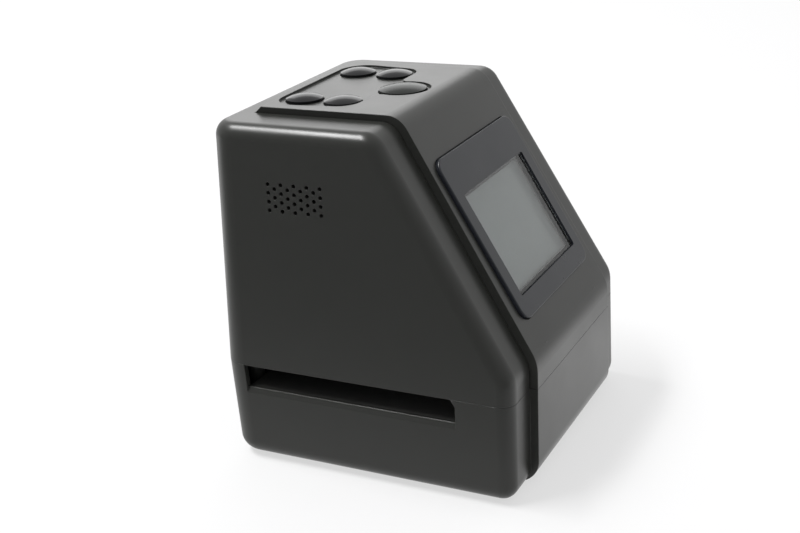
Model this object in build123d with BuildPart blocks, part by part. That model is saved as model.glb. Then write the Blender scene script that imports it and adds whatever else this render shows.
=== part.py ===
from build123d import *
import os
from math import cos, hypot, radians, sin, tan

os.makedirs("parts", exist_ok=True)

# Film negative scanner: a free-standing case with a sloping display face, five
# push buttons on top and a slot right through the base for the film holder.
# Frame: +X to the right seen from the front, +Y to the back, +Z up, origin on the
# floor under the middle of the case. All sizes in millimetres.

# ---------------------------------------------------------------- overall form
foot_height = 0.8            # floor to the underside of the base tub
body_width = 106.0           # across the sides, at the floor
body_depth = 110.8           # front face to back, at the parting line
body_height = 121.4          # floor to the top of the front hood
parting_height = 35.2        # floor to the line between tub and upper shells
draft = 1.7                  # inward lean of the sides, degrees
back_lean = 2.0              # inward lean of the upper back, degrees
tub_back_lean = 3.5          # inward lean of the tub's back, degrees
face_bend_height = 44.4      # floor to the bend under the display face
top_length = 53.0            # rear end of the hood to the bend over the display face
edge_radius = 5.0            # rounding along the sides, over the top and face
back_corner_radius = 10.0    # upright rear corners
bottom_radius = 5.6          # rounding round the underside
wall = 2.2                   # shell thickness
parting_gap = 0.1            # seam between the tub and the upper shells
snug = 0.2                   # gap round a piece that sits in a pocket

# ---------------------------------------------------------------- front hood
hood_width = 73.8            # across the hood, at the floor
hood_gap = 0.25              # shadow line beside the hood
top_rise = 2.1               # hood stands proud of the shell on top
face_rise = 2.8              # hood stands proud of the shell on the face and front
hood_setback = 12.8          # back of the case to the rear end of the hood
hood_ramp = 2.3              # length of the ramp at the rear end of the hood
hood_wall = 2.6
hood_skirt = 9.0             # depth of the hood's side walls
face_bend_radius = 14.0
top_bend_radius = 8.5
shell_bend_radius = 7.5      # the same bend on the shell beside the hood
toe_radius = 8.5             # rounding under the front
least_radius = 0.5           # smallest rounding inside a corner

# ---------------------------------------------------------------- film slot
slot_front = 22.0            # front face to the front end of the slot
slot_setback = 10.5          # back of the case to the rear end of the slot
slot_floor = 26.9            # floor to the bottom of the slot
slot_key_length = 1.6        # corner filled at the front upper end
slot_key_height = 2.4
lip_drop = 1.7               # height of the bevel below the slot
lip_reach = 1.0              # width of the bevel below the slot

# ---------------------------------------------------------------- display
bezel_width = 60.6
bezel_length = 58.7          # up the slope
bezel_start = 12.5           # bend to the lower edge of the bezel, up the slope
bezel_corner = 4.5
bezel_rise = 1.3             # bezel stands proud of the hood
bezel_seat = 1.2             # depth of its pocket in the hood
bezel_gap = 0.3
bezel_edge = 0.5             # rounding of its outer edge
window_width = 49.6
window_length = 37.4
window_start = 19.8          # bend to the lower edge of the window, up the slope
window_corner = 0.6
window_sink = 0.9            # window lies below the face of the bezel
window_fit = 0.1
window_ledge = 1.0           # hood overlaps the window's edge
lcd_margin = 5.0             # display module beyond the window, each side
lcd_thickness = 2.8
lcd_frame = 4.2              # metal frame round the picture area
lcd_frame_step = 0.5
bracket_thickness = 1.2
bracket_width = 56.0
bracket_margin = 5.5         # bracket beyond the display module, up and down
bracket_window = 9.0         # rim of the bracket

# ---------------------------------------------------------------- buttons
deck_depth = 0.8             # recess that the buttons stand in
deck_setback = 2.8           # rear end of the hood to the rear wall of the recess
deck_back_width = 60.8
deck_length = 29.7           # length of the four-button field
deck_front_width = 53.0
deck_nose_radius = 9.7       # round field of the front button
deck_back_corner = 9.0
deck_front_corner = 7.0
deck_throat = 2.5            # rounding where the two fields meet
pair_spacing = 38.2          # between the left and right buttons
back_row_setback = 10.7      # rear end of the hood to the back pair
row_pitch = 14.6             # between the back and the middle pair
front_row_pitch = 12.6       # between the middle pair and the front button
button_diameter = 12.6
front_button_diameter = 16.2
button_height = 2.1          # crown above the recess floor
crown_rise = 1.3             # height of the domed crown
button_clearance = 0.3
button_travel = 0.5
flange_width = 0.9
flange_thickness = 0.9
flange_gap = 0.3
stem_diameter = 4.0
switch_size = 6.2
switch_height = 3.6
plunger_diameter = 3.2
plunger_clearance = 0.2
plunger_rise = 1.0
plunger_bore = 1.7           # depth of the bore in a switch
board_drop = 11.4            # top of the hood to the top of the button board
button_board_width = 58.0
button_board_length = 46.0
button_board_setback = 24.6  # rear end of the hood to the middle of the button board
board_boss_diameter = 4.6
board_boss_inset = 2.5

# ---------------------------------------------------------------- film path
film_bed_thickness = 2.0
bed_drop = 0.2               # bed lies below the slot's lower edge
film_room = 8.4              # height of the film channel
rail_width = 5.0
guide_width = 72.0
guide_thickness = 2.0
gate_width = 38.0            # picture gate over the light, for one frame
gate_length = 27.0
light_width = 50.0
light_length = 40.0
light_wall = 1.8
diffuser_thickness = 1.5
diffuser_ledge = 1.0
led_length = 3.5
led_width = 2.8
led_height = 1.9
led_pitch = 9.5

# ---------------------------------------------------------------- camera tower
tower_base_width = 55.0
tower_base_length = 42.0
tower_foot = 2.0
tower_wall = 1.6
funnel_width = 44.0
funnel_length = 34.0
funnel_height = 23.0
neck_width = 22.0
collar_diameter = 22.0
collar_height = 12.0
lens_diameter = 16.0
lens_clearance = 0.1
lens_overhang = 3.0          # lens barrel beyond its collar, each end
lens_bore = 9.0
lens_glass_diameter = 12.0
lens_glass_thickness = 2.4
lens_glass_bevel = 0.6
head_size = 48.0
head_thickness = 2.0
head_corner = 4.0
sensor_room = 8.0            # head to the underside of the sensor board
shroud_size = 28.0
shroud_wall = 2.0
sensor_board_size = 34.0
sensor_chip_size = 12.0
sensor_chip_height = 1.4
post_diameter = 5.0
post_spread = 40.0
post_height = 14.0

# ---------------------------------------------------------------- main board
board_thickness = 1.6
main_board_width = 70.0
main_board_setback = 3.0     # from the inside of the back wall
main_board_margin = 3.0      # front posts to the front edge of the board
main_chip_size = 14.0
memory_chip_size = 9.0
chip_height = 1.4
usb_width = 9.2
usb_height = 4.0
usb_length = 8.0
usb_place = -18.0            # across, from the middle
card_width = 28.0
card_height = 3.4
card_length = 26.0
card_place = 3.4
socket_wall = 0.5
port_recess = 1.0
port_margin = 1.6

# ---------------------------------------------------------------- speaker
speaker_diameter = 28.0
speaker_rim = 2.4
magnet_diameter = 15.0
magnet_height = 3.2
speaker_ring_wall = 1.6
grille_setback = 35.2        # back of the case to the middle of the grille
grille_drop = 25.0           # top of the hood to the middle of the grille
grille_pitch_along = 4.78
grille_pitch_up = 2.93
grille_hole = 1.4
grille_rows = 4              # long rows, with a shorter row between each two
grille_count = 5             # holes in a long row

# ---------------------------------------------------------------- fastening
foot_diameter = 9.0
foot_sink = 0.6
foot_inset = 14.0            # side of the case to the middle of a foot
foot_front = 16.5            # front face to the middle of the front feet
foot_setback = 19.6          # back of the case to the middle of the back feet
screw_diameter = 2.4
screw_clearance = 0.1
screw_head = 4.4
screw_head_height = 1.6
screw_head_taper = 12.0      # degrees
case_screw_margin = 5.0      # edge of the film guide to a back case screw
front_screw_x = 24.0
case_screw_front = 9.5       # front face to the front case screws
case_screw_setback = 7.6     # back of the case to the back case screws
case_screw_seat = 20.0       # floor to the seat of a case screw's head
case_screw_length = 20.0
case_boss_diameter = 8.0
case_post_diameter = 5.6
case_post_height = 11.5
rib_thickness = 1.8
bed_boss_diameter = 6.0
bed_screw_x = 31.0
bed_screw_inset = 5.5
bed_screw_length = 8.0
guide_screw_length = 7.0
tower_screw_length = 3.4
bracket_screw_length = 3.8
tower_screw_inset = 2.6
post_screw_length = 7.0

# ---------------------------------------------------------------- worked-out places
front = -body_depth / 2
back = body_depth / 2
half_width = body_width / 2
lean = tan(radians(draft))
upper_lean = tan(radians(back_lean))
tub_lean = tan(radians(tub_back_lean))
hood_back = body_depth - hood_setback
face_run = hood_back - top_length
face_climb = body_height - face_bend_height
slope_cos = face_run / hypot(face_run, face_climb)
slope_sin = face_climb / hypot(face_run, face_climb)
shell_top = body_height - top_rise
deck_floor = body_height - deck_depth
deck_underside = body_height - hood_wall
lower_parting = parting_height - parting_gap / 2
upper_parting = parting_height + parting_gap / 2
tub_floor = foot_height + wall
slot_end = back - slot_setback
slot_length = slot_end - front - slot_front
slot_middle = slot_end - slot_length / 2
bed_top = slot_floor - bed_drop
bed_bottom = bed_top - film_bed_thickness
guide_bottom = slot_floor + film_room
guide_top = guide_bottom + guide_thickness
rail_offset = slot_length / 2 + rail_width / 2
funnel_bottom = guide_top + tower_foot
funnel_top = funnel_bottom + funnel_height
collar_top = funnel_top + collar_height
head_top = collar_top + head_thickness
sensor_board_bottom = head_top + sensor_room
main_board_bottom = head_top + post_height
main_board_top = main_board_bottom + board_thickness
deck_back = hood_back - deck_setback
deck_front = deck_back - deck_length
back_row = hood_back - back_row_setback
middle_row = back_row - row_pitch
front_row = middle_row - front_row_pitch
button_board_middle = hood_back - button_board_setback
button_board_top = body_height - board_drop
button_board_bottom = button_board_top - board_thickness
switch_top = button_board_top + switch_height
bezel_middle = bezel_start + bezel_length / 2
window_middle = window_start + window_length / 2
lcd_width = window_width + 2 * lcd_margin
lcd_length = window_length + 2 * lcd_margin
lcd_drop = hood_wall
bracket_drop = lcd_drop + lcd_thickness
bracket_length = lcd_length + 2 * bracket_margin
light_floor = tub_floor + light_wall
light_inner_width = light_width - 2 * light_wall
light_inner_length = light_length - 2 * light_wall

# the display face: X across, Y up the slope, measured from the bend
face_plane = Plane(
    origin=(0, front, face_bend_height),
    x_dir=(1, 0, 0),
    z_dir=(0, -slope_sin, slope_cos),
)

face_plane_axis = Axis((0, front, face_bend_height), (0, -slope_sin, slope_cos))


def side_x(height):
    """Distance from the middle to the outside of a side wall at a height."""
    return half_width - height * lean


def back_y(height):
    """The outside of the upper back wall at a height."""
    return back - (height - parting_height) * upper_lean


def face_y(drop, height):
    """Where the display face, moved in by drop, reaches a height."""
    return front + (drop + (height - face_bend_height) * slope_cos) / slope_sin


def bend_z(drop):
    """Height of the bend under the display face, moved in by drop."""
    return face_bend_height - drop * (1 - slope_sin) / slope_cos


# the inside of the left wall behind the grille: X to the back, Z into the case
grille_height = body_height - grille_drop
grille_plane = Plane(
    origin=(wall - side_x(grille_height), back - grille_setback, grille_height),
    x_dir=(0, 1, 0),
    z_dir=(cos(radians(draft)), 0, -sin(radians(draft))),
)
button_places = {
    "back_left": (-pair_spacing / 2, front + back_row, button_diameter),
    "back_right": (pair_spacing / 2, front + back_row, button_diameter),
    "middle_left": (-pair_spacing / 2, front + middle_row, button_diameter),
    "middle_right": (pair_spacing / 2, front + middle_row, button_diameter),
    "front": (0, front + front_row, front_button_diameter),
}
front_screws = [(-front_screw_x, front + case_screw_front), (front_screw_x, front + case_screw_front)]
back_screw_y = back - case_screw_setback
back_screw_x = guide_width / 2 + case_screw_margin
back_screws = [(-back_screw_x, back_screw_y), (back_screw_x, back_screw_y)]
foot_x = half_width - foot_inset
foot_rows = (front + foot_front, back - foot_setback)
foot_places = [(side * foot_x, y) for side in (-1, 1) for y in foot_rows]
bed_screw_y = slot_length / 2 - bed_screw_inset
board_boss_x = button_board_width / 2 - board_boss_inset
board_boss_y = button_board_length / 2 - board_boss_inset
tower_screw_x = tower_base_width / 2 - tower_screw_inset
tower_screw_y = tower_base_length / 2 - tower_screw_inset
bracket_screw_x = bracket_width / 2 - board_boss_inset
bracket_screw_y = bracket_length / 2 - board_boss_inset


def save(piece, name):
    """Label a finished piece and write it to its file."""
    piece.label = name
    export_step(piece, "parts/" + name + ".step")


# ---------------------------------------------------------------- shared solids
def rounded_case(inset):
    """The rounded case as one solid, with every face moved in by inset."""
    drop = face_rise + inset
    low = foot_height + inset
    high = shell_top - inset
    face_bend = (front + drop, bend_z(drop))
    top_bend = (face_y(drop, high), high)
    with BuildPart() as case:
        with BuildSketch(Plane.YZ) as outline:
            with BuildLine():
                Polyline(
                    (front + drop, low),
                    face_bend,
                    top_bend,
                    (back_y(high) - inset, high),
                    (back - inset, parting_height),
                    (back - inset - (parting_height - low) * tub_lean, low),
                    close=True,
                )
            make_face()
            fillet(outline.vertices().sort_by_distance(face_bend)[0], face_bend_radius - drop)
            fillet(outline.vertices().sort_by_distance(top_bend)[0], shell_bend_radius - inset)
        extrude(amount=body_width, both=True)
        with BuildSketch(Plane.XZ):
            with BuildLine():
                Polyline(
                    (inset - side_x(0), 0),
                    (side_x(0) - inset, 0),
                    (side_x(body_height) - inset, body_height),
                    (inset - side_x(body_height), body_height),
                    close=True,
                )
            make_face()
        extrude(amount=body_depth, both=True, mode=Mode.INTERSECT)

        rear = back - back_corner_radius - edge_radius

        def is_back_upright(edge):
            return edge.center().Y > rear and abs(edge.tangent_at(0.5).Z) > 0.8

        def is_outer_edge(edge):
            middle = edge.center()
            if middle.Z < low + snug:
                return False
            if middle.Y > rear:
                return middle.Z > high - snug
            return abs(edge.tangent_at(0.5).X) < 0.9

        fillet(case.edges().filter_by(is_back_upright), back_corner_radius - inset)
        fillet(case.edges().filter_by(is_outer_edge), edge_radius - inset)
        bottom_face = case.faces().sort_by(Axis.Z)[0]
        fillet(bottom_face.edges(), bottom_radius - inset)
    return case.part


def hood_block(inset, side_inset, rear):
    """The proud middle of the case back to rear, with its faces and sides moved in."""
    low = foot_height + inset
    high = body_height - inset
    toe = (front + inset, low)
    face_bend = (front + inset, bend_z(inset))
    top_bend = (face_y(inset, high), high)
    foot_x = hood_width / 2 - side_inset
    head_x = foot_x - body_height * lean
    with BuildPart() as block:
        with BuildSketch(Plane.YZ) as outline:
            with BuildLine():
                Polyline(toe, face_bend, top_bend, (rear, high), (rear, low), close=True)
            make_face()
            fillet(outline.vertices().sort_by_distance(toe)[0], max(toe_radius - inset, least_radius))
            fillet(outline.vertices().sort_by_distance(face_bend)[0], face_bend_radius - inset)
            bend_radius = max(top_bend_radius - inset, least_radius)
            fillet(outline.vertices().sort_by_distance(top_bend)[0], bend_radius)
        extrude(amount=body_width, both=True)
        with BuildSketch(Plane.XZ):
            with BuildLine():
                Polyline(
                    (-foot_x, 0),
                    (foot_x, 0),
                    (head_x, body_height),
                    (-head_x, body_height),
                    close=True,
                )
            make_face()
        extrude(amount=body_depth, both=True, mode=Mode.INTERSECT)
    return block.part


def slab(low, high):
    """A block wider than the case between two heights."""
    with BuildPart() as block:
        with BuildSketch(Plane.XY.offset(low)):
            Rectangle(2 * body_width, 2 * body_depth)
        extrude(amount=high - low)
    return block.part


def four(x, y, middle=0.0):
    """The corners of a rectangle about a middle point on the centre line."""
    return [(side * x, middle + end * y) for side in (-1, 1) for end in (-1, 1)]


def screws(seat, places, direction, length):
    """Pan-head screws whose heads rest on a plane; direction is the way they point."""
    with BuildPart() as group:
        with BuildSketch(seat):
            with Locations(*places):
                Circle(screw_diameter / 2)
        extrude(amount=direction * length)
        with BuildSketch(seat):
            with Locations(*places):
                Circle(screw_head / 2)
        extrude(amount=-direction * screw_head_height, taper=screw_head_taper)
    return group.part


outer_case = rounded_case(0)
inner_case = rounded_case(wall)
above_parting = slab(lower_parting, 2 * body_height)
below_parting = slab(-body_height, upper_parting)

# ---------------------------------------------------------------- base tub
with BuildPart() as base_tub:
    add(outer_case)
    add(hood_block(0, 0, front + hood_back))
    add(above_parting, mode=Mode.SUBTRACT)
    add(inner_case, mode=Mode.SUBTRACT)
    add(hood_block(wall, wall, front + hood_back), mode=Mode.SUBTRACT)
    # bosses under the film bed
    with BuildSketch(Plane.XY.offset(foot_height + snug)):
        with Locations((0, slot_middle)):
            with GridLocations(2 * bed_screw_x, 2 * bed_screw_y, 2, 2):
                Circle(bed_boss_diameter / 2)
    extrude(amount=bed_bottom - foot_height - snug)
    with BuildSketch(Plane.XY.offset(bed_bottom)):
        with Locations((0, slot_middle)):
            with GridLocations(2 * bed_screw_x, 2 * bed_screw_y, 2, 2):
                Circle(screw_diameter / 2)
    extrude(amount=film_bed_thickness - bed_screw_length, mode=Mode.SUBTRACT)
    # bosses for the case screws: wide up to the head's seat, slim above it
    with BuildSketch(Plane.XY.offset(foot_height + bottom_radius)):
        with Locations(*front_screws, *back_screws):
            Circle(case_boss_diameter / 2)
    extrude(amount=case_screw_seat + wall - foot_height - bottom_radius)
    with BuildSketch(Plane.XY.offset(tub_floor)):
        with Locations(*front_screws, *back_screws):
            Circle(case_boss_diameter / 2 - snug)
    extrude(amount=bottom_radius)
    with BuildSketch(Plane.XY.offset(case_screw_seat)):
        with Locations(*front_screws, *back_screws):
            Circle(case_post_diameter / 2)
    extrude(amount=lower_parting - case_screw_seat)
    with BuildSketch(Plane.XY.offset(-foot_height)):
        with Locations(*front_screws, *back_screws):
            Circle(screw_head / 2 + button_clearance)
    extrude(amount=case_screw_seat + foot_height, mode=Mode.SUBTRACT)
    with BuildSketch(Plane.XY.offset(case_screw_seat)):
        with Locations(*front_screws, *back_screws):
            Circle(screw_diameter / 2 + screw_clearance)
    extrude(amount=parting_height, mode=Mode.SUBTRACT)
    # pockets for the feet
    with BuildSketch(Plane.XY.offset(foot_height)):
        with Locations(*foot_places):
            Circle(foot_diameter / 2 + window_fit)
    extrude(amount=foot_sink, mode=Mode.SUBTRACT)
    # the slot through both sides, open at the parting line
    with BuildSketch(Plane.YZ):
        with BuildLine():
            Polyline(
                (front + slot_front, slot_floor),
                (slot_end, slot_floor),
                (slot_end, parting_height),
                (front + slot_front + slot_key_length, parting_height),
                (front + slot_front, parting_height - slot_key_height),
                close=True,
            )
        make_face()
    extrude(amount=body_width, both=True, mode=Mode.SUBTRACT)
    # bevel under the slot, on both sides
    with BuildSketch(Plane.XZ.offset(-slot_end)):
        for side in (-1, 1):
            with BuildLine():
                Polyline(
                    (side * (side_x(slot_floor) - lip_reach), slot_floor),
                    (side * body_width, slot_floor),
                    (side * body_width, slot_floor - lip_drop),
                    (side * side_x(slot_floor - lip_drop), slot_floor - lip_drop),
                    close=True,
                )
            make_face()
    extrude(amount=slot_length, mode=Mode.SUBTRACT)
save(base_tub.part, "base_tub")

# ---------------------------------------------------------------- rear housing
with BuildPart() as rear_housing:
    add(outer_case)
    add(below_parting, mode=Mode.SUBTRACT)
    add(inner_case, mode=Mode.SUBTRACT)
    rear_of_hood = front + hood_back + hood_gap
    add(hood_block(-top_rise, -hood_gap, rear_of_hood), mode=Mode.SUBTRACT)
    # posts for the back case screws, each tied to the back wall by a rib
    rib_end = back - wall / 2
    with BuildSketch(Plane.XY.offset(upper_parting)):
        with Locations(*back_screws):
            Circle(case_post_diameter / 2)
        with Locations(*[(x, (y + rib_end) / 2) for x, y in back_screws]):
            Rectangle(rib_thickness, rib_end - back_screw_y)
    extrude(amount=case_post_height)
    with BuildSketch(Plane.XY.offset(upper_parting)):
        with Locations(*back_screws):
            Circle(screw_diameter / 2)
    extrude(amount=case_post_height - wall, mode=Mode.SUBTRACT)
    # ring that holds the speaker behind the grille
    with BuildSketch(grille_plane.offset(-wall / 2)):
        Circle(speaker_diameter / 2 + window_fit + speaker_ring_wall)
        Circle(speaker_diameter / 2 + window_fit, mode=Mode.SUBTRACT)
    extrude(amount=wall / 2 + speaker_rim)
    # grille: rows of holes, every second row shorter and set between
    with BuildSketch(grille_plane.offset(-2 * wall)):
        with GridLocations(grille_pitch_along, grille_pitch_up, grille_count, grille_rows):
            Circle(grille_hole / 2)
        with GridLocations(grille_pitch_along, grille_pitch_up, grille_count - 1, grille_rows - 1):
            Circle(grille_hole / 2)
    extrude(amount=3 * wall, mode=Mode.SUBTRACT)
    # ports through the back wall, each in a shallow recess
    port_wall = back_y(main_board_top)
    with BuildSketch(Plane.XZ.offset(-body_depth)):
        with Locations((usb_place, main_board_top + usb_height / 2)):
            RectangleRounded(usb_width, usb_height, port_recess)
        with Locations((card_place, main_board_top + card_height / 2)):
            RectangleRounded(card_width, card_height, port_recess)
    extrude(amount=body_depth - port_wall + main_board_setback + wall, mode=Mode.SUBTRACT)
    with BuildSketch(Plane.XZ.offset(-body_depth)):
        with Locations((usb_place, main_board_top + usb_height / 2)):
            RectangleRounded(usb_width + 2 * port_margin, usb_height + 2 * port_margin, port_margin)
        with Locations((card_place, main_board_top + card_height / 2)):
            RectangleRounded(card_width + 2 * port_margin, card_height + 2 * port_margin, port_margin)
    extrude(amount=body_depth - port_wall + port_recess, mode=Mode.SUBTRACT)
save(rear_housing.part, "rear_housing")

# ---------------------------------------------------------------- front hood
with BuildPart() as front_hood:
    add(hood_block(0, 0, front + hood_back))
    chamfer(
        front_hood.edges().filter_by(Axis.X).group_by(Axis.Z)[-1].sort_by(Axis.Y)[-1],
        top_rise,
        hood_ramp,
    )
    add(hood_block(hood_wall, hood_wall, front + hood_back - hood_wall), mode=Mode.SUBTRACT)
    add(hood_block(hood_skirt, -hood_wall, front + 2 * hood_back), mode=Mode.SUBTRACT)
    add(below_parting, mode=Mode.SUBTRACT)
    # shallow field that the buttons stand in: one for four buttons, one for the front button
    with BuildSketch(Plane.XY.offset(deck_floor)) as deck:
        back_corners = [(side * deck_back_width / 2, front + deck_back) for side in (-1, 1)]
        front_corners = [(side * deck_front_width / 2, front + deck_front) for side in (1, -1)]
        with BuildLine():
            Polyline(*back_corners, *front_corners, close=True)
        make_face()
        fillet(deck.vertices().group_by(Axis.Y)[-1], deck_back_corner)
        fillet(deck.vertices().group_by(Axis.Y)[0], deck_front_corner)
        with Locations((0, front + front_row)):
            Circle(deck_nose_radius)
        throat = deck.vertices().filter_by(lambda v: abs(v.Y - front - deck_front) < snug)
        fillet(throat.filter_by(lambda v: abs(v.X) < deck_nose_radius), deck_throat)
    extrude(amount=hood_wall, mode=Mode.SUBTRACT)
    # holes for the buttons
    with BuildSketch(Plane.XY.offset(deck_underside - wall)):
        for x, y, diameter in button_places.values():
            with Locations((x, y)):
                Circle(diameter / 2 + button_clearance)
    extrude(amount=2 * hood_wall, mode=Mode.SUBTRACT)
    # bosses that carry the button board
    with BuildSketch(Plane.XY.offset(button_board_top)):
        with Locations((0, front + button_board_middle)):
            with GridLocations(2 * board_boss_x, 2 * board_boss_y, 2, 2):
                Circle(board_boss_diameter / 2)
    extrude(amount=deck_underside + snug - button_board_top)
    with BuildSketch(Plane.XY.offset(button_board_top)):
        with Locations((0, front + button_board_middle)):
            with GridLocations(2 * board_boss_x, 2 * board_boss_y, 2, 2):
                Circle(screw_diameter / 2)
    extrude(amount=post_screw_length, mode=Mode.SUBTRACT)
    # pocket for the bezel and the opening over the display
    with BuildSketch(face_plane.offset(-bezel_seat)):
        with Locations((0, bezel_middle)):
            RectangleRounded(
                bezel_width + 2 * bezel_gap,
                bezel_length + 2 * bezel_gap,
                bezel_corner + bezel_gap,
            )
    extrude(amount=2 * hood_wall, mode=Mode.SUBTRACT)
    with BuildSketch(face_plane.offset(-2 * hood_wall)):
        with Locations((0, window_middle)):
            RectangleRounded(
                window_width - 2 * window_ledge,
                window_length - 2 * window_ledge,
                window_corner,
            )
    extrude(amount=2 * hood_wall, mode=Mode.SUBTRACT)
    # bosses that carry the display bracket
    with BuildSketch(face_plane.offset(-bracket_drop)):
        with Locations((0, window_middle)):
            with GridLocations(2 * bracket_screw_x, 2 * bracket_screw_y, 2, 2):
                Circle(board_boss_diameter / 2)
    extrude(amount=bracket_drop - hood_wall + snug)
    with BuildSketch(face_plane.offset(-bracket_drop)):
        with Locations((0, window_middle)):
            with GridLocations(2 * bracket_screw_x, 2 * bracket_screw_y, 2, 2):
                Circle(screw_diameter / 2)
    extrude(amount=bracket_screw_length - bracket_thickness, mode=Mode.SUBTRACT)
    # posts for the front case screws, each tied to the front wall by a rib
    with BuildSketch(Plane.XY.offset(upper_parting)):
        with Locations(*front_screws):
            Circle(case_post_diameter / 2)
        with Locations(*[(x, (y + front + hood_wall / 2) / 2) for x, y in front_screws]):
            Rectangle(rib_thickness, case_screw_front - hood_wall / 2)
    extrude(amount=case_post_height)
    with BuildSketch(Plane.XY.offset(upper_parting)):
        with Locations(*front_screws):
            Circle(screw_diameter / 2)
    extrude(amount=case_post_height - wall, mode=Mode.SUBTRACT)
save(front_hood.part, "front_hood")

# ---------------------------------------------------------------- display
with BuildPart() as display_bezel:
    with BuildSketch(face_plane.offset(-bezel_seat)):
        with Locations((0, bezel_middle)):
            RectangleRounded(bezel_width, bezel_length, bezel_corner)
        with Locations((0, window_middle)):
            RectangleRounded(
                window_width + 2 * window_fit,
                window_length + 2 * window_fit,
                window_corner,
                mode=Mode.SUBTRACT,
            )
    extrude(amount=bezel_seat + bezel_rise)
    rim = display_bezel.faces().sort_by(face_plane_axis)[-1]
    fillet(rim.outer_wire().edges(), bezel_edge)
save(display_bezel.part, "display_bezel")

with BuildPart() as display_window:
    with BuildSketch(face_plane.offset(-bezel_seat)):
        with Locations((0, window_middle)):
            RectangleRounded(window_width, window_length, window_corner)
    extrude(amount=bezel_seat + bezel_rise - window_sink)
save(display_window.part, "display_window")

with BuildPart() as lcd_panel:
    with BuildSketch(face_plane.offset(-bracket_drop)):
        with Locations((0, window_middle)):
            Rectangle(lcd_width, lcd_length)
    extrude(amount=lcd_thickness)
    with BuildSketch(face_plane.offset(-lcd_drop)):
        with Locations((0, window_middle)):
            Rectangle(lcd_width - 2 * lcd_frame, lcd_length - 2 * lcd_frame)
    extrude(amount=-lcd_frame_step, mode=Mode.SUBTRACT)
save(lcd_panel.part, "lcd_panel")

with BuildPart() as lcd_bracket:
    with BuildSketch(face_plane.offset(-bracket_drop)):
        with Locations((0, window_middle)):
            RectangleRounded(bracket_width, bracket_length, board_boss_inset)
            RectangleRounded(
                bracket_width - 2 * bracket_window,
                lcd_length - 2 * bracket_window,
                board_boss_inset,
                mode=Mode.SUBTRACT,
            )
            with GridLocations(2 * bracket_screw_x, 2 * bracket_screw_y, 2, 2):
                Circle(screw_diameter / 2 + screw_clearance, mode=Mode.SUBTRACT)
    extrude(amount=-bracket_thickness)
save(lcd_bracket.part, "lcd_bracket")

# ---------------------------------------------------------------- buttons and their switches
def push_button(x, y, diameter):
    """A round cap with a domed crown, a flange under the hood and a stem to its switch."""
    radius = diameter / 2
    crown_top = deck_floor + button_height
    crown_edge = crown_top - crown_rise
    flange_top = deck_underside - flange_gap
    with BuildPart() as cap:
        with BuildSketch(Plane.XZ.offset(-y)):
            with BuildLine():
                Polyline(
                    (x, crown_top),
                    (x, switch_top + plunger_rise),
                    (x + stem_diameter / 2, switch_top + plunger_rise),
                    (x + stem_diameter / 2, flange_top - flange_thickness),
                    (x + radius + flange_width, flange_top - flange_thickness),
                    (x + radius + flange_width, flange_top),
                    (x + radius, flange_top),
                    (x + radius, crown_edge),
                )
                sagitta = (radius**2 + crown_rise**2) / (2 * crown_rise)
                RadiusArc((x + radius, crown_edge), (x, crown_top), -sagitta)
            make_face()
        revolve(axis=Axis((x, y, 0), (0, 0, 1)))
    return cap.part


for place, (x, y, diameter) in button_places.items():
    save(push_button(x, y, diameter), "button_" + place)
    with BuildPart() as plunger:
        with BuildSketch(Plane.XY.offset(switch_top + plunger_rise)):
            with Locations((x, y)):
                Circle(plunger_diameter / 2)
        extrude(amount=button_travel + 2 * snug - plunger_rise - plunger_bore)
    save(plunger.part, "plunger_" + place)

with BuildPart() as tact_switches:
    with BuildSketch(Plane.XY.offset(button_board_top)):
        with Locations(*[(x, y) for x, y, diameter in button_places.values()]):
            Rectangle(switch_size, switch_size)
    extrude(amount=switch_height)
    with BuildSketch(Plane.XY.offset(switch_top - plunger_bore)):
        with Locations(*[(x, y) for x, y, diameter in button_places.values()]):
            Circle(plunger_diameter / 2 + plunger_clearance)
    extrude(amount=plunger_bore, mode=Mode.SUBTRACT)
save(tact_switches.part, "tact_switches")

with BuildPart() as button_board:
    with BuildSketch(Plane.XY.offset(button_board_bottom)):
        with Locations((0, front + button_board_middle)):
            RectangleRounded(button_board_width, button_board_length, board_boss_inset)
            with GridLocations(2 * board_boss_x, 2 * board_boss_y, 2, 2):
                Circle(screw_diameter / 2 + screw_clearance, mode=Mode.SUBTRACT)
    extrude(amount=board_thickness)
save(button_board.part, "button_board")

# ---------------------------------------------------------------- film path
with BuildPart() as film_bed:
    with BuildSketch(Plane.XY.offset(bed_bottom)):
        with Locations((0, slot_middle)):
            Rectangle(2 * (side_x(bed_top) - wall - snug), slot_length - 2 * snug)
            Rectangle(guide_width, slot_length + 2 * rail_width)
            Rectangle(gate_width, gate_length, mode=Mode.SUBTRACT)
    extrude(amount=film_bed_thickness)
    with BuildSketch(Plane.XY.offset(bed_bottom)):
        with Locations((0, slot_middle - rail_offset), (0, slot_middle + rail_offset)):
            Rectangle(guide_width, rail_width)
    extrude(amount=guide_bottom - bed_bottom)
    with Locations(Location((0, slot_middle, bed_top))):
        with GridLocations(2 * bed_screw_x, 2 * bed_screw_y, 2, 2):
            CounterSinkHole(
                radius=screw_diameter / 2 + screw_clearance,
                counter_sink_radius=screw_head / 2 + screw_clearance,
                depth=film_bed_thickness,
                counter_sink_angle=90,
            )
    with Locations(Location((0, slot_middle, guide_bottom))):
        with GridLocations(2 * bed_screw_x, 2 * rail_offset, 2, 2):
            Hole(radius=screw_diameter / 2, depth=guide_screw_length)
save(film_bed.part, "film_bed")

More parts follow.
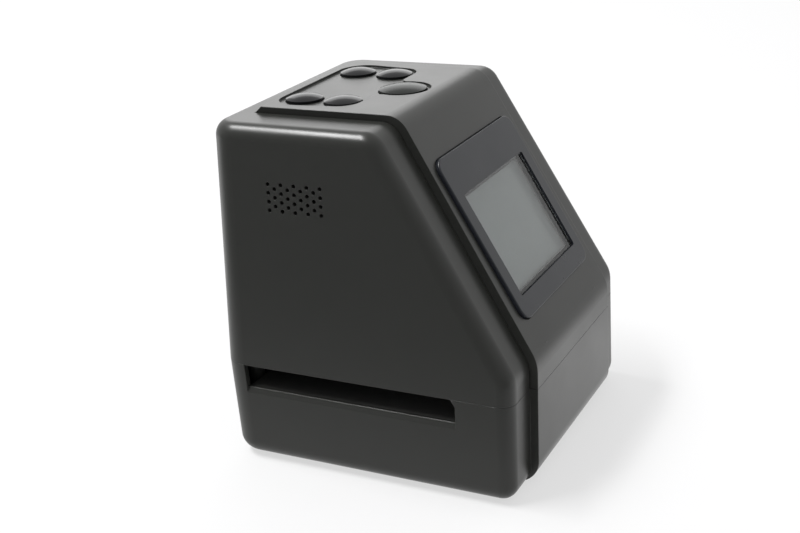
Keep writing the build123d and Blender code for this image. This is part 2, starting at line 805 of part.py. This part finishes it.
with BuildPart() as film_guide:
    with BuildSketch(Plane.XY.offset(guide_bottom)):
        with Locations((0, slot_middle)):
            RectangleRounded(guide_width, slot_length + 2 * rail_width, board_boss_inset)
            Rectangle(gate_width, gate_length, mode=Mode.SUBTRACT)
            with GridLocations(2 * bed_screw_x, 2 * rail_offset, 2, 2):
                Circle(screw_diameter / 2 + screw_clearance, mode=Mode.SUBTRACT)
            with GridLocations(2 * tower_screw_x, 2 * tower_screw_y, 2, 2):
                Circle(screw_diameter / 2, mode=Mode.SUBTRACT)
    extrude(amount=guide_thickness)
save(film_guide.part, "film_guide")

with BuildPart() as light_box:
    with BuildSketch(Plane.XY.offset(tub_floor)):
        with Locations((0, slot_middle)):
            Rectangle(light_width, light_length)
    extrude(amount=bed_bottom - tub_floor)
    with BuildSketch(Plane.XY.offset(light_floor)):
        with Locations((0, slot_middle)):
            Rectangle(light_inner_width, light_inner_length)
    extrude(amount=bed_bottom - light_floor, mode=Mode.SUBTRACT)
    with BuildSketch(Plane.XY.offset(bed_bottom - diffuser_thickness)):
        with Locations((0, slot_middle)):
            Rectangle(
                light_inner_width + 2 * diffuser_ledge,
                light_inner_length + 2 * diffuser_ledge,
            )
    extrude(amount=diffuser_thickness, mode=Mode.SUBTRACT)
save(light_box.part, "light_box")

with BuildPart() as diffuser:
    with BuildSketch(Plane.XY.offset(bed_bottom - diffuser_thickness)):
        with Locations((0, slot_middle)):
            Rectangle(
                light_inner_width + 2 * diffuser_ledge - 2 * window_fit,
                light_inner_length + 2 * diffuser_ledge - 2 * window_fit,
            )
    extrude(amount=diffuser_thickness)
save(diffuser.part, "diffuser")

with BuildPart() as led_board:
    with BuildSketch(Plane.XY.offset(light_floor)):
        with Locations((0, slot_middle)):
            Rectangle(light_inner_width - 2 * snug, light_inner_length - 2 * snug)
    extrude(amount=board_thickness)
save(led_board.part, "led_board")

with BuildPart() as leds:
    with BuildSketch(Plane.XY.offset(light_floor + board_thickness)):
        with Locations((0, slot_middle)):
            with GridLocations(led_pitch, led_pitch, 4, 3):
                Rectangle(led_length, led_width)
    extrude(amount=led_height)
save(leds.part, "leds")

# ---------------------------------------------------------------- camera tower
with BuildPart() as optics_tower:
    with BuildSketch(Plane.XY.offset(guide_top)):
        with Locations((0, slot_middle)):
            RectangleRounded(tower_base_width, tower_base_length, head_corner)
            with GridLocations(2 * tower_screw_x, 2 * tower_screw_y, 2, 2):
                Circle(screw_diameter / 2 + screw_clearance, mode=Mode.SUBTRACT)
    extrude(amount=tower_foot)
    with BuildSketch(Plane.XY.offset(funnel_bottom)):
        with Locations((0, slot_middle)):
            Rectangle(funnel_width, funnel_length)
    with BuildSketch(Plane.XY.offset(funnel_top)):
        with Locations((0, slot_middle)):
            Rectangle(neck_width, neck_width)
    loft()
    with BuildSketch(Plane.XY.offset(funnel_top)):
        with Locations((0, slot_middle)):
            Circle(collar_diameter / 2)
    extrude(amount=collar_height)
    with BuildSketch(Plane.XY.offset(collar_top)):
        with Locations((0, slot_middle)):
            RectangleRounded(head_size, head_size, head_corner)
    extrude(amount=head_thickness)
    with BuildSketch(Plane.XY.offset(head_top)):
        with Locations((0, slot_middle)):
            with GridLocations(post_spread, post_spread, 2, 2):
                Circle(post_diameter / 2)
    extrude(amount=post_height)
    with BuildSketch(Plane.XY.offset(guide_top)):
        with Locations((0, slot_middle)):
            Rectangle(funnel_width - 2 * tower_wall, funnel_length - 2 * tower_wall)
    with BuildSketch(Plane.XY.offset(funnel_top - tower_wall)):
        with Locations((0, slot_middle)):
            Rectangle(neck_width - 2 * tower_wall, neck_width - 2 * tower_wall)
    loft(mode=Mode.SUBTRACT)
    with BuildSketch(Plane.XY.offset(funnel_top - 2 * tower_wall)):
        with Locations((0, slot_middle)):
            Circle(lens_diameter / 2 + lens_clearance)
    extrude(amount=collar_height + head_thickness + 3 * tower_wall, mode=Mode.SUBTRACT)
    with BuildSketch(Plane.XY.offset(main_board_bottom)):
        with Locations((0, slot_middle)):
            with GridLocations(post_spread, post_spread, 2, 2):
                Circle(screw_diameter / 2)
    extrude(amount=-post_screw_length, mode=Mode.SUBTRACT)
save(optics_tower.part, "optics_tower")

lens_length = collar_height + head_thickness + 2 * lens_overhang
lens_bottom = funnel_top - lens_overhang
lens_top = lens_bottom + lens_length
with BuildPart() as lens_barrel:
    with BuildSketch(Plane.XY.offset(lens_bottom)):
        with Locations((0, slot_middle)):
            Circle(lens_diameter / 2)
            Circle(lens_bore / 2, mode=Mode.SUBTRACT)
    extrude(amount=lens_length)
    for seat, direction in ((lens_bottom, 1), (lens_top, -1)):
        with BuildSketch(Plane.XY.offset(seat)):
            with Locations((0, slot_middle)):
                Circle(lens_glass_diameter / 2 + window_fit)
        extrude(amount=direction * lens_glass_thickness, mode=Mode.SUBTRACT)
save(lens_barrel.part, "lens_barrel")

with BuildPart() as lens_glass:
    for seat, direction in ((lens_bottom, 1), (lens_top, -1)):
        with BuildSketch(Plane.XY.offset(seat + direction * lens_glass_thickness)):
            with Locations((0, slot_middle)):
                Circle(lens_glass_diameter / 2)
        extrude(amount=-direction * lens_glass_thickness)
    outer_rims = lens_glass.edges().filter_by(GeomType.CIRCLE).group_by(Axis.Z)
    chamfer(outer_rims[0] + outer_rims[-1], lens_glass_bevel)
save(lens_glass.part, "lens_glass")

with BuildPart() as sensor_shroud:
    with BuildSketch(Plane.XY.offset(head_top)):
        with Locations((0, slot_middle)):
            RectangleRounded(shroud_size, shroud_size, shroud_wall)
            Rectangle(shroud_size - 2 * shroud_wall, shroud_size - 2 * shroud_wall, mode=Mode.SUBTRACT)
    extrude(amount=sensor_room)
save(sensor_shroud.part, "sensor_shroud")

with BuildPart() as sensor_board:
    with BuildSketch(Plane.XY.offset(sensor_board_bottom)):
        with Locations((0, slot_middle)):
            Rectangle(sensor_board_size, sensor_board_size)
    extrude(amount=board_thickness)
save(sensor_board.part, "sensor_board")

with BuildPart() as image_sensor:
    with BuildSketch(Plane.XY.offset(sensor_board_bottom)):
        with Locations((0, slot_middle)):
            Rectangle(sensor_chip_size, sensor_chip_size)
    extrude(amount=-sensor_chip_height)
save(image_sensor.part, "image_sensor")

# ---------------------------------------------------------------- main board and its sockets
main_board_back = back_y(main_board_top) - wall - main_board_setback
main_board_front = slot_middle - post_spread / 2 - main_board_margin
main_board_middle = (main_board_back + main_board_front) / 2
socket_back = back_y(main_board_top) - wall - snug
with BuildPart() as main_board:
    with BuildSketch(Plane.XY.offset(main_board_bottom)):
        with Locations((0, main_board_middle)):
            RectangleRounded(main_board_width, main_board_back - main_board_front, board_boss_inset)
        with Locations((0, slot_middle)):
            with GridLocations(post_spread, post_spread, 2, 2):
                Circle(screw_diameter / 2 + screw_clearance, mode=Mode.SUBTRACT)
    extrude(amount=board_thickness)
save(main_board.part, "main_board")

with BuildPart() as board_chips:
    with BuildSketch(Plane.XY.offset(main_board_top)):
        with Locations((0, slot_middle)):
            Rectangle(main_chip_size, main_chip_size)
        with Locations((-main_chip_size - memory_chip_size, slot_middle)):
            Rectangle(memory_chip_size, main_chip_size)
    extrude(amount=chip_height)
save(board_chips.part, "board_chips")


def socket(place, width, height, length):
    """A folded metal socket, open to the back."""
    with BuildPart() as shell:
        with BuildSketch(Plane.XZ.offset(-socket_back)):
            with Locations((place, main_board_top + height / 2)):
                Rectangle(width, height)
        extrude(amount=length)
        with BuildSketch(Plane.XZ.offset(-socket_back)):
            with Locations((place, main_board_top + height / 2)):
                Rectangle(width - 2 * socket_wall, height - 2 * socket_wall)
        extrude(amount=length - socket_wall, mode=Mode.SUBTRACT)
    return shell.part


save(socket(usb_place, usb_width, usb_height, usb_length), "usb_socket")
save(socket(card_place, card_width, card_height, card_length), "card_socket")

# ---------------------------------------------------------------- speaker
with BuildPart() as speaker:
    with BuildSketch(grille_plane):
        Circle(speaker_diameter / 2)
    extrude(amount=speaker_rim)
    with BuildSketch(grille_plane.offset(speaker_rim)):
        Circle(magnet_diameter / 2)
    extrude(amount=magnet_height)
save(speaker.part, "speaker")

# ---------------------------------------------------------------- feet and screws
with BuildPart() as rubber_feet:
    with BuildSketch():
        with Locations(*foot_places):
            Circle(foot_diameter / 2)
    extrude(amount=foot_height + foot_sink)
save(rubber_feet.part, "rubber_feet")

with BuildPart() as bed_screws:
    with BuildSketch(Plane.XY.offset(bed_top)):
        with Locations(*four(bed_screw_x, bed_screw_y, slot_middle)):
            Circle(screw_diameter / 2)
    extrude(amount=-bed_screw_length)
    with BuildSketch(Plane.XY.offset(bed_top)):
        with Locations(*four(bed_screw_x, bed_screw_y, slot_middle)):
            Circle(screw_head / 2)
    extrude(amount=-(screw_head - screw_diameter) / 2, taper=45)
save(bed_screws.part, "bed_screws")

bracket_seat = face_plane.offset(-bracket_drop - bracket_thickness)
screw_groups = {
    "case_screws": (
        Plane.XY.offset(case_screw_seat), front_screws + back_screws, 1, case_screw_length
    ),
    "guide_screws": (
        Plane.XY.offset(guide_top),
        four(bed_screw_x, rail_offset, slot_middle),
        -1,
        guide_screw_length,
    ),
    "tower_screws": (
        Plane.XY.offset(funnel_bottom),
        four(tower_screw_x, tower_screw_y, slot_middle),
        -1,
        tower_screw_length,
    ),
    "main_board_screws": (
        Plane.XY.offset(main_board_top),
        four(post_spread / 2, post_spread / 2, slot_middle),
        -1,
        post_screw_length,
    ),
    "button_board_screws": (
        Plane.XY.offset(button_board_bottom),
        four(board_boss_x, board_boss_y, front + button_board_middle),
        1,
        post_screw_length,
    ),
    "bracket_screws": (
        bracket_seat, four(bracket_screw_x, bracket_screw_y, window_middle), 1, bracket_screw_length
    ),
}
for group_name, (seat, places, direction, length) in screw_groups.items():
    save(screws(seat, places, direction, length), group_name)
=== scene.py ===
from math import cos, radians, sin

import bmesh
import bpy
from mathutils import Matrix, Vector

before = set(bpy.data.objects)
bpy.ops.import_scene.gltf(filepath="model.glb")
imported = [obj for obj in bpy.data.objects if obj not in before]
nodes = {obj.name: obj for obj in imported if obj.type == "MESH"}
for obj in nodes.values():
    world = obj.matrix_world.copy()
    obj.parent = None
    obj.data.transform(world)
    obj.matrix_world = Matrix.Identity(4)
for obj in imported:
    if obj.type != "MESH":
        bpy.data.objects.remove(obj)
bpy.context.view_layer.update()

MM = 0.001

# ------------------------------------------------------------------ camera and light
CAMERA_PLACE = Vector((-0.38741, -0.19222, 0.22626))
CAMERA_AZIMUTH = radians(-62.43)
CAMERA_ELEVATION = radians(21.28)
CAMERA_ROLL = radians(-3.63)
CAMERA_LENS = 59.1
LAMP_TARGET = Vector((0.0, 0.0, 0.06))
ROOM_DIM = (0.22, 0.22, 0.225)       # the room on the left
ROOM_BRIGHT = (0.80, 0.80, 0.80)     # the room on the right
ROOM_TURN = (0.92, -0.05, 0.0)       # the way in which the room gets brighter
FLOOR_SIZE = 12.0
FLOOR_WHITENING = 0.62               # share of plain white in the floor as it is seen
FLOOR_COLOR = (0.86, 0.86, 0.865)
PAINTED_REFLECTION_LEFT = 0.22                 # painted reflection: the floor's glow as seen in reflections, on the left
PAINTED_REFLECTION_MIDDLE = 1.25               # under the scanner
PAINTED_REFLECTION_LOSS = 0.50                 # how much of it goes again to the right

# ------------------------------------------------------------------ places on the scanner
FRONT = -55.4 * MM           # front face
FACE_BEND = 44.4 * MM        # height of the bend under the display face
FACE_COS, FACE_SIN = 0.50457, 0.86338
PICTURE_WIDTH = 51.2 * MM    # picture area of the display
PICTURE_LENGTH = 39.0 * MM
PICTURE_MIDDLE = 38.5 * MM   # up the slope from the bend
PICTURE_DARK = (0.31, 0.34, 0.33)
PICTURE_LIGHT = (0.36, 0.39, 0.38)
BUTTONS = ("back_left", "back_right", "middle_left", "middle_right", "front")


def place_camera():
    """The photograph's view: from the left, a little above, rolled slightly."""
    az, el, roll = CAMERA_AZIMUTH, CAMERA_ELEVATION, CAMERA_ROLL
    back = Vector((sin(az) * cos(el), -cos(az) * cos(el), sin(el)))
    level = Vector((cos(az), sin(az), 0.0))
    up = back.cross(level)
    right = cos(roll) * level + sin(roll) * up
    top = cos(roll) * up - sin(roll) * level
    camera = bpy.data.objects.new("camera", bpy.data.cameras.new("camera"))
    camera.data.lens = CAMERA_LENS
    camera.data.sensor_width = 36.0
    camera.data.clip_start = 0.01
    turn = Matrix((right, top, back)).transposed().to_4x4()
    camera.matrix_world = Matrix.Translation(CAMERA_PLACE) @ turn
    bpy.context.scene.collection.objects.link(camera)
    bpy.context.scene.camera = camera


def soft_box(name, place, size, power):
    """A rectangular lamp that faces the scanner and stays out of the picture."""
    light = bpy.data.lights.new(name, "AREA")
    light.shape = "RECTANGLE"
    light.size, light.size_y = size
    light.energy = power
    lamp = bpy.data.objects.new(name, light)
    place = Vector(place)
    aim = (LAMP_TARGET - place).to_track_quat("-Z", "Y")
    lamp.matrix_world = Matrix.Translation(place) @ aim.to_matrix().to_4x4()
    lamp.visible_camera = False
    bpy.context.scene.collection.objects.link(lamp)


def light_studio():
    """A pale room, brighter to the right, with lamps overhead and behind to the right."""
    world = bpy.data.worlds.new("studio")
    bpy.context.scene.world = world
    world.use_nodes = True
    tree = world.node_tree
    tree.nodes.clear()
    output = tree.nodes.new("ShaderNodeOutputWorld")
    room = tree.nodes.new("ShaderNodeBackground")
    room.inputs["Strength"].default_value = 1.0
    coords = tree.nodes.new("ShaderNodeTexCoord")
    sideways = tree.nodes.new("ShaderNodeVectorMath")
    sideways.operation = "DOT_PRODUCT"
    sideways.inputs[1].default_value = ROOM_TURN
    spread = tree.nodes.new("ShaderNodeMapRange")
    spread.inputs["From Min"].default_value = -1.0
    spread.inputs["From Max"].default_value = 1.0
    ramp = tree.nodes.new("ShaderNodeValToRGB")
    for stop, position, color in zip(ramp.color_ramp.elements, (0.1, 0.9), (ROOM_DIM, ROOM_BRIGHT)):
        stop.position = position
        stop.color = (*color, 1)
    link = tree.links.new
    link(coords.outputs["Generated"], sideways.inputs[0])
    link(sideways.outputs["Value"], spread.inputs["Value"])
    link(spread.outputs["Result"], ramp.inputs["Fac"])
    link(ramp.outputs["Color"], room.inputs["Color"])
    link(room.outputs["Background"], output.inputs["Surface"])
    soft_box("overhead", (-0.40, 1.08, 2.20), (1.3, 0.42), 52.0)
    soft_box("behind", (2.50, 1.30, 1.09), (1.7, 1.5), 9.0)


def lay_floor():
    """The table under the scanner, kept out of the model."""
    mesh = bmesh.new()
    bmesh.ops.create_grid(mesh, x_segments=1, y_segments=1, size=FLOOR_SIZE / 2)
    floor = finished(mesh, "floor", floor_material())


# ------------------------------------------------------------------ mesh helpers
def finished(mesh, name, material):
    """Turn a bmesh into a named piece with its finish."""
    data = bpy.data.meshes.new(name)
    mesh.to_mesh(data)
    mesh.free()
    piece = bpy.data.objects.new(name, data)
    bpy.context.scene.collection.objects.link(piece)
    data.materials.append(material)
    return piece


def dress(material, *names):
    """Give CAD nodes a finish."""
    for name in names:
        data = nodes[name].data
        data.materials.clear()
        data.materials.append(material)


# ------------------------------------------------------------------ materials
def new_material(name, color, roughness, metallic=0.0):
    """A material with its node tree and its main shader."""
    material = bpy.data.materials.new(name)
    material.use_nodes = True
    shader = material.node_tree.nodes["Principled BSDF"]
    shader.inputs["Base Color"].default_value = (*color, 1)
    shader.inputs["Roughness"].default_value = roughness
    shader.inputs["Metallic"].default_value = metallic
    return material, material.node_tree, shader


def object_point(tree):
    return tree.nodes.new("ShaderNodeTexCoord").outputs["Object"]


def noise(tree, scale, detail=4.0):
    """Soft random values through the piece."""
    texture = tree.nodes.new("ShaderNodeTexNoise")
    texture.inputs["Scale"].default_value = scale
    texture.inputs["Detail"].default_value = detail
    texture.inputs["Roughness"].default_value = 0.5
    tree.links.new(object_point(tree), texture.inputs["Vector"])
    return texture.outputs["Fac"]


def mapped(tree, value, low, high, start=0.0, end=1.0):
    """A value between start and end, carried over to low and high."""
    node = tree.nodes.new("ShaderNodeMapRange")
    node.inputs["From Min"].default_value = start
    node.inputs["From Max"].default_value = end
    node.inputs["To Min"].default_value = low
    node.inputs["To Max"].default_value = high
    tree.links.new(value, node.inputs["Value"])
    return node.outputs["Result"]


def blend(tree, value, first, second):
    """A colour between two, by a value from nought to one."""
    node = tree.nodes.new("ShaderNodeMix")
    node.data_type = "RGBA"
    node.inputs["A"].default_value = (*first, 1)
    node.inputs["B"].default_value = (*second, 1)
    tree.links.new(value, node.inputs["Factor"])
    return node.outputs["Result"]


def sums(tree, operation, first, second):
    """One step of arithmetic on values or sockets."""
    node = tree.nodes.new("ShaderNodeMath")
    node.operation = operation
    for socket, value in zip(node.inputs, (first, second)):
        if isinstance(value, (int, float)):
            socket.default_value = value
        else:
            tree.links.new(value, socket)
    return node.outputs["Value"]


def along(tree, direction):
    """How far a point lies in a direction."""
    node = tree.nodes.new("ShaderNodeVectorMath")
    node.operation = "DOT_PRODUCT"
    node.inputs[1].default_value = direction
    tree.links.new(object_point(tree), node.inputs[0])
    return node.outputs["Value"]


def bump(tree, shader, height, strength, distance, edge=0.0):
    """Surface grain, with the shading of edges rounded by edge."""
    node = tree.nodes.new("ShaderNodeBump")
    node.inputs["Strength"].default_value = strength
    node.inputs["Distance"].default_value = distance
    tree.links.new(height, node.inputs["Height"])
    tree.links.new(node.outputs["Normal"], shader.inputs["Normal"])
    if edge:
        rounded = tree.nodes.new("ShaderNodeBevel")
        rounded.samples = 6
        rounded.inputs["Radius"].default_value = edge
        tree.links.new(rounded.outputs["Normal"], node.inputs["Normal"])


def uneven_sheen(tree, shader, scale, low, high):
    """Roughness that wanders slowly over the surface."""
    wander = mapped(tree, noise(tree, scale), low, high, 0.3, 0.7)
    tree.links.new(wander, shader.inputs["Roughness"])


def floor_material():
    """Pale table, near white where it is seen, with a painted reflection: in reflections it glows,
    dimmer to the left.
    """
    material, tree, shader = new_material("pale_table", FLOOR_COLOR, 0.7)
    uneven_sheen(tree, shader, 6.0, 0.66, 0.74)
    across = along(tree, (1, 0, 0))
    rising = mapped(tree, across, PAINTED_REFLECTION_LEFT, PAINTED_REFLECTION_MIDDLE, -0.18, 0.06)
    falling = mapped(tree, across, 0.0, PAINTED_REFLECTION_LOSS, 0.08, 0.20)
    # painted reflection: for glossy rays the floor is an emission whose strength changes across it,
    # dimmer to the left
    path = tree.nodes.new("ShaderNodeLightPath")
    painted_reflection_glow = tree.nodes.new("ShaderNodeEmission")
    tree.links.new(sums(tree, "SUBTRACT", rising, falling), painted_reflection_glow.inputs["Strength"])
    painted_reflection_glow.inputs["Color"].default_value = (0.93, 0.93, 0.93, 1)
    lit = tree.nodes.new("ShaderNodeEmission")
    lit.inputs["Color"].default_value = (1.0, 1.0, 1.0, 1)
    seen = tree.nodes.new("ShaderNodeMixShader")
    share = sums(tree, "MULTIPLY", path.outputs["Is Camera Ray"], FLOOR_WHITENING)
    tree.links.new(share, seen.inputs["Fac"])
    tree.links.new(shader.outputs["BSDF"], seen.inputs[1])
    tree.links.new(lit.outputs["Emission"], seen.inputs[2])
    mix = tree.nodes.new("ShaderNodeMixShader")
    tree.links.new(path.outputs["Is Glossy Ray"], mix.inputs["Fac"])
    tree.links.new(seen.outputs["Shader"], mix.inputs[1])
    tree.links.new(painted_reflection_glow.outputs["Emission"], mix.inputs[2])
    output = tree.nodes["Material Output"]
    tree.links.new(mix.outputs["Shader"], output.inputs["Surface"])
    return material


def case_plastic():
    """Black case plastic with a fine spark grain and softened edges."""
    material, tree, shader = new_material("case_plastic", (0.029, 0.030, 0.027), 0.31)
    uneven_sheen(tree, shader, 45.0, 0.29, 0.34)
    bump(tree, shader, noise(tree, 2600.0, 2.0), 0.25, 0.02 * MM, 0.35 * MM)
    return material


def bezel_plastic():
    """Smooth satin plastic, a shade bluer than the case."""
    material, tree, shader = new_material("bezel_plastic", (0.017, 0.019, 0.024), 0.30)
    uneven_sheen(tree, shader, 70.0, 0.27, 0.33)
    bump(tree, shader, noise(tree, 3000.0, 2.0), 0.15, 0.01 * MM)
    return material


def button_plastic(name, color, roughness, shine):
    """Polished caps, with the faint swell of moulded plastic."""
    material, tree, shader = new_material(name, color, roughness)
    uneven_sheen(tree, shader, 160.0, roughness - 0.03, roughness + 0.03)
    shader.inputs["Specular IOR Level"].default_value = shine
    bump(tree, shader, noise(tree, 400.0, 2.0), 0.10, 0.02 * MM)
    return material


def window_plastic():
    """Clear display window, faintly grey."""
    material, tree, shader = new_material("window_plastic", (0.90, 0.92, 0.92), 0.06)
    shader.inputs["Transmission Weight"].default_value = 1.0
    shader.inputs["IOR"].default_value = 1.46
    uneven_sheen(tree, shader, 90.0, 0.04, 0.08)
    return material


def coated_glass():
    """Lens glass with a faint violet coating."""
    material, tree, shader = new_material("coated_glass", (0.90, 0.88, 0.96), 0.02)
    shader.inputs["Transmission Weight"].default_value = 1.0
    shader.inputs["IOR"].default_value = 1.52
    uneven_sheen(tree, shader, 200.0, 0.01, 0.03)
    return material


def display_panel():
    """Grey switched-off picture area inside a bright metal frame."""
    material, tree, shader = new_material("display_panel", PICTURE_DARK, 0.3)
    across = sums(tree, "ABSOLUTE", along(tree, (1, 0, 0)), 0.0)
    up_slope = along(tree, (0, FACE_COS, FACE_SIN))
    middle = FRONT * FACE_COS + FACE_BEND * FACE_SIN + PICTURE_MIDDLE
    away = sums(tree, "ABSOLUTE", sums(tree, "SUBTRACT", up_slope, middle), 0.0)
    inside = sums(
        tree,
        "MULTIPLY",
        sums(tree, "LESS_THAN", across, PICTURE_WIDTH / 2),
        sums(tree, "LESS_THAN", away, PICTURE_LENGTH / 2),
    )
    mottled = blend(tree, noise(tree, 120.0), PICTURE_DARK, PICTURE_LIGHT)
    color = tree.nodes.new("ShaderNodeMix")
    color.data_type = "RGBA"
    color.inputs["A"].default_value = (0.50, 0.50, 0.49, 1)
    tree.links.new(mottled, color.inputs["B"])
    tree.links.new(inside, color.inputs["Factor"])
    tree.links.new(color.outputs["Result"], shader.inputs["Base Color"])
    tree.links.new(mapped(tree, inside, 0.9, 0.0), shader.inputs["Metallic"])
    return material


def plated_steel():
    """Bright plated steel with fine rolling marks."""
    material, tree, shader = new_material("plated_steel", (0.62, 0.62, 0.60), 0.3, 1.0)
    uneven_sheen(tree, shader, 500.0, 0.22, 0.38)
    bump(tree, shader, noise(tree, 3000.0, 3.0), 0.2, 0.01 * MM)
    return material


def board_lacquer():
    """Green circuit board with paler copper runs under the lacquer."""
    material, tree, shader = new_material("board_lacquer", (0.02, 0.13, 0.05), 0.35)
    runs = tree.nodes.new("ShaderNodeTexBrick")
    runs.inputs["Scale"].default_value = 180.0
    runs.inputs["Mortar Size"].default_value = 0.04
    runs.inputs["Color1"].default_value = (0.016, 0.10, 0.04, 1)
    runs.inputs["Color2"].default_value = (0.020, 0.13, 0.05, 1)
    runs.inputs["Mortar"].default_value = (0.045, 0.22, 0.09, 1)
    tree.links.new(object_point(tree), runs.inputs["Vector"])
    tree.links.new(runs.outputs["Color"], shader.inputs["Base Color"])
    uneven_sheen(tree, shader, 200.0, 0.3, 0.42)
    return material


def matt_plastic(name, color, roughness, grain=1800.0):
    """Plain moulded or rubbery surface with a fine grain."""
    material, tree, shader = new_material(name, color, roughness)
    darker = tuple(0.85 * part for part in color)
    tree.links.new(blend(tree, noise(tree, 150.0), darker, color), shader.inputs["Base Color"])
    uneven_sheen(tree, shader, 120.0, roughness - 0.05, roughness + 0.05)
    bump(tree, shader, noise(tree, grain, 2.0), 0.3, 0.02 * MM)
    return material


def dress_scanner():
    """Every CAD node gets its finish."""
    dress(case_plastic(), "base_tub", "rear_housing", "front_hood")
    dress(bezel_plastic(), "display_bezel")
    dress(window_plastic(), "display_window")
    dress(coated_glass(), "lens_glass")
    dress(display_panel(), "lcd_panel")
    caps = ["button_" + place for place in BUTTONS]
    dress(button_plastic("button_plastic", (0.012, 0.012, 0.013), 0.14, 0.25), *caps[:4])
    dress(button_plastic("front_button_plastic", (0.022, 0.024, 0.022), 0.22, 0.12), caps[4])
    screws = [name for name in nodes if name.endswith("_screws")]
    dress(plated_steel(), "lcd_bracket", "usb_socket", "card_socket", *screws)
    dress(board_lacquer(), "button_board", "main_board", "sensor_board", "led_board")
    plungers = ["plunger_" + place for place in BUTTONS]
    chips = matt_plastic("chip_resin", (0.03, 0.03, 0.032), 0.5)
    dress(chips, "board_chips", "image_sensor", "tact_switches", *plungers)
    tower = matt_plastic("tower_plastic", (0.075, 0.075, 0.072), 0.6)
    dress(tower, "film_bed", "film_guide", "optics_tower", "lens_barrel")
    dress(matt_plastic("white_plastic", (0.80, 0.80, 0.78), 0.5), "light_box", "diffuser")
    dress(matt_plastic("led_resin", (0.85, 0.78, 0.45), 0.35), "leds")
    dress(matt_plastic("rubber", (0.035, 0.035, 0.035), 0.8, 900.0), "rubber_feet", "sensor_shroud")
    dress(matt_plastic("speaker_paper", (0.045, 0.045, 0.048), 0.7, 900.0), "speaker")


place_camera()
light_studio()
lay_floor()
dress_scanner()
bpy.context.scene.view_settings.view_transform = "Standard"
